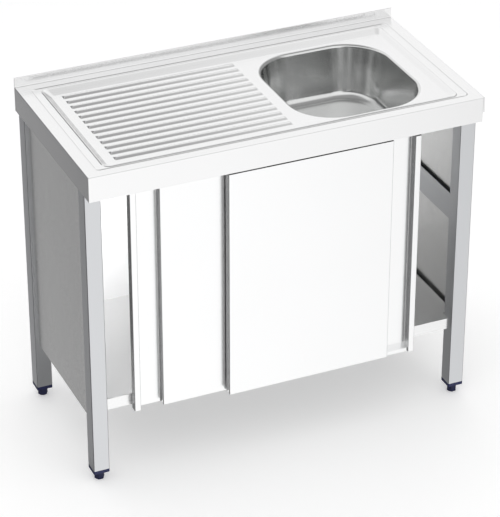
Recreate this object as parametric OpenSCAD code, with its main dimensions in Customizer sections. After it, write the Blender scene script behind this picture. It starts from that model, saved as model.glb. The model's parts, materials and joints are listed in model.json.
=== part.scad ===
// Stainless steel sink cabinet in millimetres. The origin is on the floor under the middle
// of the outline, +X is to the right, +Y to the rear and +Z up.

/* [Cabinet] */
// Length of the worktop
length = 1000; // [900:10:1400]
// Depth of the worktop, front to rear
depth = 500; // [480:10:700]
// Height of the rim above the floor
height = 850; // [820:5:950]
// Height of the rear upstand above the rim
upstand = 25; // [15:5:60]

/* [Worktop] */
// Thickness of the worktop sheet
deck_t = 1.2; // [1:0.1:1.5]
// Height of the apron on all four sides
apron = 62; // [60:1:70]
// Height of the hem folded at the foot of the front apron
hem = 10; // [6:1:15]
// Width of the outer rim
rim_w = 30; // [20:1:34]
// Step down from the rim to the land
rim_step = 1; // [0.6:0.1:1.1]
// Depth of the pressed field under the rim
recess = 8; // [6:0.5:9]
// Distance from each end to the pressed slope
recess_side = 54; // [50:1:60]
// Distance from the front to the pressed slope
recess_front = 38; // [36:1:45]
// Distance from the rear to the pressed slope
recess_rear = 40; // [38:1:45]
// Run of the slope at the ends and the front
slope_run = 14; // [12:1:16]
// Run of the slope at the rear
slope_rear = 30; // [24:1:30]

/* [Drainer] */
// Number of drainer ribs
rib_count = 13; // [8:1:14]
// Height of a rib at the outer end
rib_h = 3.5; // [2:0.1:4]
// Height of a rib near the bowl
rib_end_h = 1.8; // [1.2:0.1:2]
// Width of a rib at its foot
rib_w = 19; // [14:0.5:20]
// Distance from the left end to the ribs
rib_start = 92; // [85:1:120]

/* [Bowl] */
// Length of the bowl opening
bowl_w = 340; // [300:5:360]
// Depth of the bowl opening, front to rear
bowl_d = 370; // [340:5:375]
// Depth of the bowl under the rim
bowl_deep = 140; // [120:5:200]
// Corner radius of the opening
bowl_r = 114; // [90:1:130]
// Radius of the rolled edge
roll_r = 8; // [5:0.5:10]
// Radius between the wall and the floor
foot_r = 24; // [15:1:30]
// Slope of the walls in degrees
draft = 8; // [4:0.5:10]
// Distance from the right end to the middle of the bowl
bowl_from_right = 268; // [260:1:300]

/* [Legs] */
// Width of the square leg tube
leg = 40; // [35:1:45]
// Wall of the leg tube
leg_wall = 1.5; // [1.2:0.1:2]
// Height of the tube's end above the floor
leg_bottom = 32.5; // [28:0.5:45]
// Distance from the front to the front legs
leg_from_front = 37; // [30:1:48]
// Distance from the rear to the rear legs
leg_from_rear = 20; // [12:1:40]
// Height of the insert's flange
flange_h = 9; // [6:1:12]
// Width of the screw foot across its six flats
foot_hex = 22; // [19:1:26]
// Radius of the screw foot's stud
stud_r = 5; // [4:0.5:6]

/* [Doors] */
// Thickness of a door
door_t = 20; // [18:1:20]
// Height of the doors' lower edge above the floor
door_bottom = 183.5; // [170:0.5:190]
// Width of the finger groove
groove_w = 57.5; // [40:0.5:70]
// Width of the lip beside the groove
lip_w = 15.5; // [12:0.5:25]
// How far the right door stands open
right_open = 160.5; // [0:0.5:250]
// How far the left door stands open
left_open = 65.5; // [0:0.5:250]

/* [Shelf] */
// Height of the shelf above the floor
shelf_z = 222; // [215:1:230]
// Height of the shelf's front fold
shelf_fold = 30; // [28:1:38]
// Height of the middle side rails' lower edge
mid_z = 466; // [350:1:550]
// Height of the middle side rails
mid_h = 70; // [40:1:90]

/* [Hidden] */
$fn = 48;
eps = 0.01;

// Outline of the worktop
right = length / 2;
rear = depth / 2;
front = -rear;
left = -right;

// Levels of the pressed sheet
rim_r = 12;
recess_r = 15;
field_r = 10;
land_z = height - rim_step;
field_z = height - recess;
land_under = land_z - deck_t;
field_under = field_z - deck_t;
apron_z = height - apron;

// Thicknesses of the other sheets and the gap left round fasteners
sheet = 1;
rail_t = 1.5;
play = 0.1;

// Legs
leg_side = deck_t + play;
leg_x = right - leg_side - leg / 2;
leg_front_y = front + leg_from_front + leg / 2;
leg_rear_y = rear - leg_from_rear - leg / 2;
leg_corner = leg_wall + 0.5;
header_t = 2;
header_z = field_under - 0.8 - header_t;
plug_h = 45;
stud_h = 47;
stud_play = 0.05;
foot_base_h = 1;

// Panels stand between the legs, set back from their outer faces
panel_set_back = 7.8;
panel_out = right - panel_set_back;
panel_in = panel_out - sheet;
panel_below_shelf = 56;
panel_bottom = shelf_z - panel_below_shelf;
panel_top = field_under - 0.8;
span_front = leg_front_y + leg / 2;
span_rear = leg_rear_y - leg / 2;
leg_inner = leg_x - leg / 2;
back_in = leg_rear_y + leg / 2 - 3;
top_rail_w = 25;
top_rail_h = 40;
rail_inset = 8;
side_fold = 30;
low_rail_w = 25;
low_rail_h = 20;

// Shelf
shelf_set_back = 50;
shelf_front = front + shelf_set_back;
shelf_side = panel_in - rail_inset;
shelf_notch = leg_inner - 3;
stiffener_w = 60;
stiffener_h = 25;
stiffener_flange = 15;

// Doors: two leaves of equal width, the front one on the right
door_w = right - 5;
door_gap = 4;
front_plane = front + 4.5;
rear_plane = front_plane + door_t + door_gap;
door_top = apron_z - 6;
panel_w = door_w - groove_w - lip_w;
right_closed = right - 2.5 - door_w;
right_x = right_closed - right_open;
left_closed = -leg_inner + 0.5;
left_x = left_closed + left_open;
door_mid = door_t / 2;

// Tracks, hangers and rollers, above the door
track_w = 22;
track_h = 27;
track_t = 1.5;
slot_half = 4;
track_z = header_z - track_h;
roller_r = 8;
roller_w = 5;
roller_gap = 2;
axle_r = 2;
axle_play = 0.05;
axle_z = track_z + track_t + roller_r;
hanger_t = 3;
hanger_w = 40;
foot_w = 72;
hanger_edge = 60;
hanger_u = [hanger_edge, panel_w - hanger_edge];
screw_r = 2.5;
screw_reach = 28;
stop_l = 18;
stop_top = 19;

// Lower guide, in the middle where both doors always cover it
guide_x = 20;
guide_l = 30;
fin_h = 8;
fin_w = 7;
guide_t = 2;
right_min = guide_x + guide_l / 2 + 5.5 - door_w;
left_max = guide_x - guide_l / 2 - 1.5 - groove_w - lip_w;
channel_h = 10;
channel_w = 10;

// Field of the recess, bowl and waste
field_front = front + recess_front + slope_run + 1;
field_rear = rear - recess_rear - slope_rear;
bowl_margin = 2.3;
bowl_x = right - bowl_from_right;
bowl_y = field_front + bowl_margin + bowl_d / 2;
floor_z = height - bowl_deep - 0.5;
dish_r = 112;
dish_z = floor_z - 3.5;
seat_r = 37;
seat_z = dish_z - 3;
drain_r = 26;
roll_x = bowl_r;
roll_cz = field_z - roll_r;
foot_cz = floor_z + foot_r;
foot_cx = roll_x - (roll_cz - foot_cz) * tan(draft) - (roll_r + foot_r) / cos(draft);

// Drainer
rib_first = field_front + 27;
rib_pitch = (field_rear - 14 - rib_first) / (rib_count - 1);
rib_hip = 5;
rib_fade = 40;
rib_x0 = left + rib_start;
rib_x1 = bowl_x - bowl_w / 2 - 33;
rib_len = rib_x1 - rib_x0;
rib_r = (pow(rib_w / 2, 2) + pow(rib_h, 2)) / (2 * rib_h);

steel = [0.80, 0.81, 0.83];
zinc = [0.66, 0.68, 0.71];
navy = [0.10, 0.14, 0.30];
black = [0.12, 0.12, 0.13];
white = [0.90, 0.90, 0.88];

// Box between two opposite corners
module block(a, b) {
    translate([min(a[0], b[0]), min(a[1], b[1]), min(a[2], b[2])])
        cube([abs(a[0] - b[0]), abs(a[1] - b[1]), abs(a[2] - b[2])]);
}

module round_rect(w, d, r, parts = 48) {
    square([w - 2 * r, d], center = true);
    square([w, d - 2 * r], center = true);
    for (sx = [-1, 1], sy = [-1, 1])
        translate([sx * (w / 2 - r), sy * (d / 2 - r)])
            circle(r, $fn = parts);
}

// Carries a profile round a rounded rectangle; its x starts at the corner centres
module round_frame(w, d, r) {
    for (k = [0:3]) {
        long = k % 2 == 0 ? w : d;
        deep = k % 2 == 0 ? d : w;
        rotate([0, 0, 90 * k]) {
            translate([long / 2 - r, deep / 2 - r, 0])
                rotate_extrude(angle = 90)
                    children();
            translate([r - long / 2, deep / 2 - r, 0])
                rotate([90, 0, 90])
                    linear_extrude(long - 2 * r)
                        children();
        }
    }
}

// Pin or hole along X, Y or Z from a point
module rod_x(p, r, l) {
    translate(p)
        rotate([0, 90, 0])
            cylinder(r = r, h = l);
}

module rod_y(p, r, l) {
    translate(p)
        rotate([-90, 0, 0])
            cylinder(r = r, h = l);
}

module rod_z(p, r, l) {
    translate(p)
        cylinder(r = r, h = l);
}

// One level of the pressed recess: inset from the slope's top edge, at a height
module recess_level(side, near, far, r, z, h) {
    w = length - 2 * (recess_side + side);
    y0 = front + recess_front + near;
    y1 = rear - recess_rear - far;
    translate([0, (y0 + y1) / 2, z])
        linear_extrude(h)
            round_rect(w, y1 - y0, r, 32);
}

module recess_cut() {
    hull() {
        recess_level(0, 0, 0, recess_r, land_z, rim_step);
        recess_level(slope_run, slope_run + 1, slope_rear, field_r, field_z, eps);
    }
}

module recess_shell() {
    hull() {
        recess_level(-deck_t, -deck_t, -deck_t, recess_r + deck_t, land_under, deck_t);
        recess_level(slope_run - 0.5, slope_run + 0.5, slope_rear - 0.5, field_r, field_under, eps);
    }
}

// All ribs as round bars that sink towards the bowl, cut back to a hip at both ends
module ribs(r, base, inset) {
    intersection() {
        for (i = [0:rib_count - 1])
            translate([rib_x0, rib_first + i * rib_pitch, field_z + rib_h - rib_r])
                rotate([0, 90 + atan((rib_h - rib_end_h) / rib_len), 0])
                    cylinder(r = r, h = rib_len, $fn = 64);
        translate([0, rear, 0])
            rotate([90, 0, 0])
                linear_extrude(depth)
                    polygon([[rib_x0 + inset, base], [rib_x0 + inset, field_z - inset],
                        [rib_x0 + inset + 2 * rib_hip, field_z - inset + 2 * rib_h],
                        [rib_x1 - inset - rib_fade, field_z - inset + 5],
                        [rib_x1 - inset, field_z - inset], [rib_x1 - inset, base]]);
    }
}

module worktop() {
    color(steel) {
        difference() {
            union() {
                // Rim and land
                difference() {
                    block([left, front, height - deck_t], [right, rear, height]);
                    translate([0, 0, height - deck_t - 1])
                        linear_extrude(deck_t + 2)
                            round_rect(length - 2 * rim_w, depth - 2 * rim_w, rim_r);
                }
                translate([0, 0, land_under])
                    linear_extrude(deck_t)
                        round_rect(length - 2 * rim_w + 2 * deck_t,
                            depth - 2 * rim_w + 2 * deck_t, rim_r + deck_t);
                recess_shell();
            }
            recess_cut();
            translate([bowl_x, bowl_y, field_z - 5])
                linear_extrude(10)
                    round_rect(bowl_w, bowl_d, bowl_r);
            ribs(rib_r - deck_t, field_z - 5, deck_t);
        }
        difference() {
            ribs(rib_r, field_z - deck_t / 2, 0);
            ribs(rib_r - deck_t, field_z - 5, deck_t);
        }
        // Aprons; the front one ends short of the right corner and has a hem
        block([left, front, apron_z], [right - 5, front + deck_t, height - eps]);
        block([left, front, apron_z], [right - 5, front + 2 * deck_t, apron_z + hem]);
        block([left, front, apron_z], [left + deck_t, rear, height - eps]);
        difference() {
            block([right - deck_t, front, apron_z], [right, rear, height - eps]);
            block([right - 5, front - 1, apron_z - 1], [right + 1, front + 12, apron_z + 24]);
        }
        block([right - 4.5, front, apron_z + 24], [right, front + deck_t, height - eps]);
        block([left, rear - deck_t, apron_z], [right, rear, height - eps]);
        // Rear upstand, a double hem with a round top
        block([left, rear - 3, height - eps], [right, rear, height + upstand - 1.5]);
        rod_x([left, rear - 1.5, height + upstand - 1.5], 1.5, length);
    }
}

// Section of the bowl from its rolled edge down to the floor
module bowl_section() {
    far = 100;
    roll_end = [-cos(draft), sin(draft)];
    lap = eps * [sin(draft), cos(draft)];
    wall_top = [roll_x, roll_cz] + roll_r * roll_end + lap;
    wall_foot = [foot_cx, foot_cz] - foot_r * roll_end - lap;
    out = -deck_t * roll_end;
    intersection() {
        translate([roll_x, roll_cz])
            difference() {
                circle(roll_r);
                circle(roll_r - deck_t);
            }
        polygon([[roll_x, roll_cz], [roll_x, field_z + 1], [roll_x - far, field_z + 1],
            [roll_x, roll_cz] + far * roll_end]);
    }
    polygon([wall_top, wall_top + out, wall_foot + out, wall_foot]);
    intersection() {
        translate([foot_cx, foot_cz])
            difference() {
                circle(foot_r + deck_t);
                circle(foot_r);
            }
        polygon([[foot_cx, foot_cz], [foot_cx, foot_cz - far],
            [foot_cx + far, foot_cz - far], [foot_cx, foot_cz] - far * roll_end]);
    }
}

module bowl() {
    flat_r = foot_cx + eps;
    flat_w = bowl_w - 2 * bowl_r + 2 * flat_r;
    flat_d = bowl_d - 2 * bowl_r + 2 * flat_r;
    color(steel)
        translate([bowl_x, bowl_y, 0]) {
            round_frame(bowl_w, bowl_d, bowl_r)
                bowl_section();
            difference() {
                translate([0, 0, floor_z - deck_t])
                    linear_extrude(deck_t)
                        round_rect(flat_w, flat_d, flat_r);
                rod_z([0, 0, floor_z - 3], dish_r - eps, 6);
            }
            // Dish falling to the drain and the seat of the waste
            rotate_extrude($fn = 96)
                polygon([[dish_r, floor_z], [seat_r + 5, dish_z], [seat_r + 1, seat_z],
                    [drain_r, seat_z], [drain_r, seat_z - deck_t], [seat_r + 1, seat_z - deck_t],
                    [seat_r + 5, dish_z - deck_t], [dish_r, floor_z - deck_t]]);
        }
}

// Hat section with its flanges up, drawn along X
module hat(l, w, h, flange) {
    rotate([90, 0, 90])
        linear_extrude(l, center = true) {
            translate([-w / 2, -h])
                square([w, rail_t]);
            for (s = [-1, 1]) {
                translate([s * (w / 2 - rail_t / 2) - rail_t / 2, -h])
                    square([rail_t, h]);
                translate([s * (w + flange) / 2 - flange / 2, -rail_t])
                    square([flange, rail_t]);
            }
        }
}

module drainer_stiffener() {
    color(zinc)
        translate([(rib_x0 + rib_x1) / 2, (field_front + field_rear) / 2, field_under])
            rotate([0, 0, 90])
                hat(field_rear - field_front - 20, stiffener_w, stiffener_h, stiffener_flange);
}

// Square tube or plug outline
module leg_outline(w, r) {
    round_rect(w, w, r);
}

module leg_tube(x, y, top) {
    color(steel)
        translate([x, y, leg_bottom])
            linear_extrude(top - leg_bottom)
                difference() {
                    leg_outline(leg, leg_corner);
                    leg_outline(leg - 2 * leg_wall, leg_corner - leg_wall);
                }
}

module leg_insert(x, y) {
    inner = leg - 2 * leg_wall - 2 * play;
    color(navy)
        translate([x, y, leg_bottom - flange_h])
            difference() {
                union() {
                    linear_extrude(flange_h)
                        leg_outline(leg, leg_corner);
                    translate([0, 0, flange_h - eps])
                        linear_extrude(plug_h)
                            leg_outline(inner, leg_corner - leg_wall);
                }
                rod_z([0, 0, -1], stud_r + stud_play, flange_h + plug_h - 3);
                // Open quarters of the plug round its cross and boss
                for (sx = [-1, 1], sy = [-1, 1])
                    block([sx * 9.5, sy * 9.5, flange_h + 3],
                        [sx * (inner / 2 - 2), sy * (inner / 2 - 2), flange_h + plug_h + 1]);
            }
}

// Hexagon pad on a round base, with the stud that turns in the insert
module screw_foot(x, y) {
    top = leg_bottom - flange_h;
    color(navy)
        translate([x, y, 0]) {
            rod_z([0, 0, 0], foot_hex / 2 - 0.5, foot_base_h + eps);
            translate([0, 0, foot_base_h])
                cylinder(r = foot_hex / sqrt(3), h = top - foot_base_h, $fn = 6);
            rod_z([0, 0, top - eps], stud_r, stud_h);
        }
}

module side_panel(side) {
    color(steel)
        difference() {
            union() {
                block([side * panel_in, span_front, panel_bottom],
                    [side * panel_out, span_rear, panel_top]);
                block([side * (panel_in - 10), span_front, panel_bottom],
                    [side * panel_out, span_rear, panel_bottom + sheet]);
            }
            panel_rivet_holes();
        }
}

module back_panel() {
    color(steel)
        difference() {
            union() {
                block([-leg_inner, back_in, panel_bottom], [leg_inner, back_in + sheet, panel_top]);
                block([-leg_inner, back_in - 10, panel_bottom],
                    [leg_inner, back_in + sheet, panel_bottom + sheet]);
            }
            panel_rivet_holes();
        }
}

// Channel rail against a side panel, open to the inside
module top_rail(side) {
    x0 = side * panel_in;
    x1 = side * (panel_in - top_rail_w);
    z0 = land_under - top_rail_h;
    color(zinc)
        difference() {
            union() {
                block([x0, span_front, z0], [side * (panel_in - rail_t), span_rear, land_under]);
                block([x0, span_front, z0], [x1, span_rear, z0 + rail_t]);
                block([x0, span_front, land_under - rail_t], [x1, span_rear, land_under]);
            }
            panel_rivet_holes();
        }
}

module top_rail_rear() {
    z0 = panel_top - top_rail_h;
    color(zinc)
        difference() {
            union() {
                block([-leg_inner, back_in - rail_t, z0], [leg_inner, back_in, panel_top]);
                block([-leg_inner, back_in - top_rail_w, z0], [leg_inner, back_in, z0 + rail_t]);
                block([-leg_inner, back_in - top_rail_w, panel_top - rail_t],
                    [leg_inner, back_in, panel_top]);
            }
            panel_rivet_holes();
        }
}

// Flat rail that stands clear of the side panel and is tabbed to both legs
module mid_rail(side) {
    face = shelf_side;
    tab = face + rail_t + 5.5;
    color(steel) {
        block([side * face, span_front, mid_z], [side * (face + rail_t), span_rear, mid_z + mid_h]);
        block([side * face, span_front, mid_z], [side * tab, span_front + rail_t, mid_z + mid_h]);
        block([side * face, span_rear - rail_t, mid_z], [side * tab, span_rear, mid_z + mid_h]);
    }
}

module lower_rail(side) {
    top = shelf_z - side_fold;
    color(zinc)
        difference() {
            block([side * panel_in, span_front, top - low_rail_h],
                [side * (panel_in - low_rail_w), span_rear, top]);
            block([side * (panel_in - rail_t), span_front - 1, top - low_rail_h + rail_t],
                [side * (panel_in - low_rail_w + rail_t), span_rear + 1, top - rail_t]);
        }
}

module shelf() {
    under = shelf_z - sheet;
    bottom = shelf_z - shelf_fold;
    color(steel)
        difference() {
            union() {
                block([-shelf_notch, shelf_front, under], [shelf_notch, back_in, shelf_z]);
                block([-shelf_side, span_front + 3, under], [shelf_side, span_rear - 3, shelf_z]);
                // Front fold, and the shorter rear fold
                block([-shelf_notch, shelf_front, bottom], [shelf_notch, shelf_front + sheet, shelf_z]);
                block([-shelf_notch, back_in - sheet, bottom + 8], [shelf_notch, back_in, shelf_z]);
                // Side folds that stand on the lower rails, each with a return
                for (side = [-1, 1]) {
                    block([side * shelf_side, span_front + 3, shelf_z - side_fold],
                        [side * (shelf_side - sheet), span_rear - 3, shelf_z]);
                    block([side * shelf_side, span_front + 3, shelf_z - side_fold],
                        [side * (shelf_side - 10), span_rear - 3, shelf_z - side_fold + sheet]);
                }
            }
            panel_rivet_holes();
            guide_rivet_holes();
        }
}

module shelf_stiffener() {
    color(zinc)
        translate([0, (span_front + span_rear) / 2, shelf_z - sheet])
            hat(2 * shelf_notch - 2, stiffener_w, stiffener_h, stiffener_flange);
}

header_inset = 3;
header_reach = 52;

// Flat bar over both tracks with a flange up to the worktop's rim
module front_header() {
    color(zinc)
        difference() {
            union() {
                block([-right + leg_side, front + header_inset, header_z],
                    [right - leg_side, front + header_reach, header_z + header_t]);
                block([-right + leg_side, front + header_inset, header_z],
                    [right - leg_side, front + header_inset + rail_t, height - deck_t]);
            }
            track_rivet_holes();
        }
}

// Channel open downward, its lips carry the rollers
module track(y, reach) {
    top = track_z + track_h;
    color(zinc)
        difference() {
            block([-reach, y - track_w / 2, track_z], [reach, y + track_w / 2, top]);
            block([-reach - 1, y - track_w / 2 + track_t, track_z + track_t],
                [reach + 1, y + track_w / 2 - track_t, top - track_t]);
            block([-reach - 1, y - slot_half, track_z - 1], [reach + 1, y + slot_half, top - 5]);
            track_rivet_holes();
        }
}

function mid_y(plane) = plane + door_mid;
module front_track() track(mid_y(front_plane), right - 2);
module rear_track() track(mid_y(rear_plane), leg_inner - 1);

// Rubber blocks 0.5 from the hangers at both ends of each door's run
module track_stops() {
    reach = hanger_w / 2 + 0.5;
    ends = [
        [right_min + hanger_u[0] - reach, -1, front_plane],
        [right_closed + hanger_u[1] + reach, 1, front_plane],
        [left_closed + door_w - hanger_u[1] - reach, -1, rear_plane],
        [left_max + door_w - hanger_u[0] + reach, 1, rear_plane]];
    half = track_w / 2 - track_t;
    color(black)
        for (e = ends)
            block([e[0], mid_y(e[2]) - half, track_z + track_t],
                [e[0] + e[1] * stop_l, mid_y(e[2]) + half, track_z + stop_top]);
}

rivet_x = [-0.9 * leg_inner, -0.3 * leg_inner, 0.3 * leg_inner, 0.9 * leg_inner];
track_rivet_r = 2;

module track_rivet_holes() {
    for (x = rivet_x, plane = [front_plane, rear_plane])
        rod_z([x, mid_y(plane), header_z - 3], track_rivet_r + play, 8);
}

module track_rivets() {
    under = header_z - track_t;
    color(zinc)
        for (x = rivet_x, plane = [front_plane, rear_plane]) {
            rod_z([x, mid_y(plane), under - 1.5], track_rivet_r + 1.5, 1.5);
            rod_z([x, mid_y(plane), under - eps], track_rivet_r, track_t + header_t + 0.3);
        }
}

// Plastic guide under the shelf's fold; its two fins run in the doors' lower channels
module door_guide() {
    x0 = guide_x - guide_l / 2;
    x1 = guide_x + guide_l / 2;
    top = door_bottom - guide_t;
    behind = shelf_front + sheet;
    color(white)
        difference() {
            union() {
                block([x0, mid_y(front_plane) - fin_w / 2, top - guide_t],
                    [x1, behind + guide_t, top]);
                block([x0, behind, top - guide_t], [x1, behind + guide_t, shelf_z - 12]);
                for (plane = [front_plane, rear_plane])
                    block([x0, mid_y(plane) - fin_w / 2, top - eps],
                        [x1, mid_y(plane) + fin_w / 2, door_bottom + fin_h]);
            }
            guide_rivet_holes();
        }
}

guide_rivet_r = 1.6;

module guide_rivet_holes() {
    for (x = [guide_x - 8, guide_x + 8])
        rod_y([x, shelf_front - 1, shelf_z - 20], guide_rivet_r + play, 6);
}

module guide_rivets() {
    depth_in = sheet + guide_t;
    color(zinc)
        for (x = [guide_x - 8, guide_x + 8]) {
            rod_y([x, shelf_front, shelf_z - 20], guide_rivet_r, depth_in + eps);
            rod_y([x, shelf_front + depth_in, shelf_z - 20], guide_rivet_r + 1.4, 1.2);
        }
}

rivet_r = 1.6;
rivet_head = 3;
side_rivet_up = 38;
side_rivet_z = apron_z + side_rivet_up;
back_rivet_z = [panel_top - top_rail_h / 2, shelf_z - 12];
side_rivet_y = 0.3 * depth;
back_rivet_x = 0.3 * length;

module panel_rivet_holes() {
    for (side = [-1, 1], y = [-side_rivet_y, 0, side_rivet_y])
        rod_x([side * panel_in - 4, y, side_rivet_z], rivet_r + play, 8);
    for (x = [-back_rivet_x, 0, back_rivet_x], z = back_rivet_z)
        rod_y([x, back_in - 3, z], rivet_r + play, 6);
}

// Rivets of the side panels in the top rails and of the back panel in its rail and the shelf
module panel_rivets() {
    grip = sheet + rail_t;
    color(zinc) {
        for (side = [-1, 1], y = [-side_rivet_y, 0, side_rivet_y])
            translate([side * panel_out, y, side_rivet_z])
                rotate([0, 90 * side, 0]) {
                    rod_z([0, 0, -grip - 0.5], rivet_r, grip + 1);
                    rod_z([0, 0, 0], rivet_head, 1);
                }
        for (x = [-back_rivet_x, 0, back_rivet_x], z = back_rivet_z)
            translate([x, back_in + sheet, z])
                rotate([-90, 0, 0]) {
                    rod_z([0, 0, -grip - 0.5], rivet_r, grip + 1);
                    rod_z([0, 0, 0], rivet_head, 1);
                }
    }
}

// Puts a door drawn from its outer panel edge to its lip in place; the left one is mirrored
module hung(side) {
    translate([side > 0 ? right_x : left_x + door_w, side > 0 ? front_plane : rear_plane, 0])
        mirror([side > 0 ? 0 : 1, 0, 0])
            children();
}

function channel_end(side) = side > 0 ? door_w : panel_w - sheet;

module door_skin(side) {
    groove_end = panel_w + groove_w;
    back = door_t - sheet;
    color(steel)
        hung(side)
            difference() {
                translate([0, 0, door_bottom])
                    linear_extrude(door_top - door_bottom) {
                        square([panel_w, sheet]);
                        square([sheet, door_t]);
                        translate([panel_w - sheet, 0])
                            square([sheet, door_t]);
                        translate([panel_w - sheet, back])
                            square([groove_w + lip_w + sheet, sheet]);
                        translate([groove_end, 0])
                            square([sheet, door_t]);
                        translate([groove_end, 0])
                            square([lip_w, sheet]);
                        translate([door_w - sheet, 0])
                            square([sheet, door_t]);
                    }
                // Way through the folded walls for the lower channel
                block([sheet, door_mid - channel_w / 2, door_bottom - 1],
                    [channel_end(side) - (side > 0 ? sheet : 0), back, door_bottom + channel_h]);
                block([-1, door_mid - channel_w / 2, door_bottom - 1],
                    [channel_end(side) + (side > 0 ? 1 : 0), door_mid + channel_w / 2,
                        door_bottom + channel_h]);
            }
}

module door_back(side) {
    back = door_t - sheet;
    color(zinc)
        hung(side) {
            block([sheet, back, door_bottom], [panel_w - sheet, door_t, door_top]);
            for (u = [sheet, panel_w - 2 * sheet])
                block([u, door_mid, door_bottom + 15], [u + sheet, door_t, door_top - 20]);
        }
}

module door_top(side) {
    back = door_t - sheet;
    color(zinc)
        hung(side)
            difference() {
                block([sheet, sheet, door_top - 15], [panel_w - sheet, back, door_top]);
                block([0, sheet + rail_t, door_top - 16],
                    [panel_w, back - rail_t, door_top - rail_t]);
                hanger_holes();
            }
}

// Inverted channel that straddles the guide's fin; its top reaches back to the groove's floor
module door_bottom_channel(side) {
    back = door_t - sheet;
    end = channel_end(side);
    near = door_mid - channel_w / 2;
    far = door_mid + channel_w / 2;
    spans = side > 0 ? [[sheet, panel_w - sheet], [panel_w + groove_w + sheet, door_w - sheet]]
        : [[sheet, panel_w - sheet]];
    color(zinc)
        hung(side) {
            difference() {
                block([0, near, door_bottom], [end, far, door_bottom + channel_h]);
                block([-1, near + sheet, door_bottom - 1],
                    [end + 1, far - sheet, door_bottom + channel_h - sheet]);
            }
            block([sheet, far - eps, door_bottom + channel_h - sheet],
                [end - (side > 0 ? sheet : 0), back, door_bottom + channel_h]);
            for (s = spans) {
                block([s[0], sheet, door_bottom], [s[1], near + eps, door_bottom + sheet]);
                block([s[0], far - eps, door_bottom], [s[1], back, door_bottom + sheet]);
            }
        }
}

module hanger_holes() {
    for (u = hanger_u, s = [-1, 1])
        rod_z([u + s * screw_reach, door_mid, door_top - 3], screw_r + play, 8);
}

module hangers(side) {
    top = axle_z + 6;
    color(zinc)
        hung(side)
            difference() {
                for (u = hanger_u) {
                    block([u - foot_w / 2, 2, door_top], [u + foot_w / 2, door_t - 2, door_top + hanger_t]);
                    block([u - hanger_w / 2, door_mid - hanger_t / 2, door_top],
                        [u + hanger_w / 2, door_mid + hanger_t / 2, top]);
                }
                hanger_holes();
                for (u = hanger_u)
                    rod_y([u, 0, axle_z], axle_r, door_t);
            }
}

// Hexagon screws with their nuts under the door's top channel
module hanger_screws(side) {
    head = 3.3;
    hex_r = 4.6;
    color(zinc)
        hung(side)
            for (u = hanger_u, s = [-1, 1])
                translate([u + s * screw_reach, door_mid, 0]) {
                    translate([0, 0, door_top + hanger_t])
                        cylinder(r = hex_r, h = head, $fn = 6);
                    rod_z([0, 0, door_top - rail_t - 6], screw_r, rail_t + 6 + hanger_t + eps);
                    translate([0, 0, door_top - rail_t - 4])
                        cylinder(r = hex_r, h = 4, $fn = 6);
                }
}

module axles(side) {
    reach = roller_gap + roller_w + 0.3;
    color(zinc)
        hung(side)
            for (u = hanger_u) {
                rod_y([u, door_mid - reach, axle_z], axle_r, 2 * reach);
                for (y = [door_mid - reach - 1.2, door_mid + reach])
                    rod_y([u, y, axle_z], axle_r + 1.2, 1.2);
            }
}

// Two wheels on one axle, one on each side of the hanger
module rollers(side, u) {
    color(white)
        hung(side)
            for (y = [door_mid - roller_gap, door_mid + roller_gap + roller_w])
                translate([u, y, axle_z])
                    rotate([90, 0, 0])
                        rotate_extrude()
                            polygon([[axle_r + axle_play, 0], [3.6, 0], [3.6, 0.7], [6.4, 0.7],
                                [6.4, 0], [roller_r - 0.4, 0], [roller_r, 0.4],
                                [roller_r, roller_w - 0.4], [roller_r - 0.4, roller_w],
                                [axle_r + axle_play, roller_w]]);
}

// Waste: grid flange in the bowl, gasket, threaded body under it and the screw that clamps them
neck_r = 25.5;
gasket_t = 3;
under_z = seat_z - deck_t;
outlet_r = 23.9;
outlet_h = 20;
body_h = 40;
grid_z = seat_z - 9;
clamp_r = 3;
clamp_l = 24;

module waste_flange() {
    color(steel)
        translate([bowl_x, bowl_y, 0]) {
            rotate_extrude()
                polygon([[seat_r - 2, seat_z], [seat_r - 3, seat_z + 1.6], [neck_r + 2, seat_z + 1.6],
                    [neck_r - 1.2, seat_z - 1], [neck_r - 1.2, grid_z - 2], [neck_r, grid_z - 2],
                    [neck_r, seat_z]]);
            difference() {
                rod_z([0, 0, grid_z - 2], neck_r - 1.1, 2);
                rod_z([0, 0, grid_z - 3], clamp_r + play, 4);
                for (i = [0:7])
                    rotate([0, 0, 45 * i])
                        rod_z([15.5, 0, grid_z - 3], 4, 4);
            }
        }
}

module waste_gasket() {
    color(black)
        translate([bowl_x, bowl_y, under_z - gasket_t])
            difference() {
                rod_z([0, 0, 0], seat_r - 3, gasket_t);
                rod_z([0, 0, -1], neck_r + 1, gasket_t + 2);
            }
}

module waste_body() {
    top = under_z - gasket_t;
    low = top - body_h;
    color(white)
        translate([bowl_x, bowl_y, 0]) {
            rotate_extrude()
                polygon([[seat_r - 3, top], [seat_r - 3, top - 4], [neck_r + 5, top - 5],
                    [neck_r + 4, top - 24], [outlet_r + 3, top - 30], [outlet_r + 3, low],
                    [outlet_r, low], [outlet_r, low - outlet_h], [outlet_r - 3.4, low - outlet_h],
                    [outlet_r - 3.4, low], [neck_r + 1, top - 24], [neck_r + 1, top]]);
            // Cross that holds the threaded boss of the screw
            difference() {
                union() {
                    block([-neck_r - 1.5, -1.5, top - 22], [neck_r + 1.5, 1.5, top - 12]);
                    block([-1.5, -neck_r - 1.5, top - 22], [1.5, neck_r + 1.5, top - 12]);
                    rod_z([0, 0, top - 22], 6.5, 12);
                }
                rod_z([0, 0, top - 23], clamp_r + play, 20);
            }
        }
}

module waste_screw() {
    color(zinc)
        translate([bowl_x, bowl_y, 0]) {
            difference() {
                rod_z([0, 0, grid_z], 6, 2.5);
                block([-0.8, -7, grid_z + 1], [0.8, 7, grid_z + 3]);
            }
            rod_z([0, 0, grid_z - clamp_l], clamp_r, clamp_l + eps);
        }
}

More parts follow.
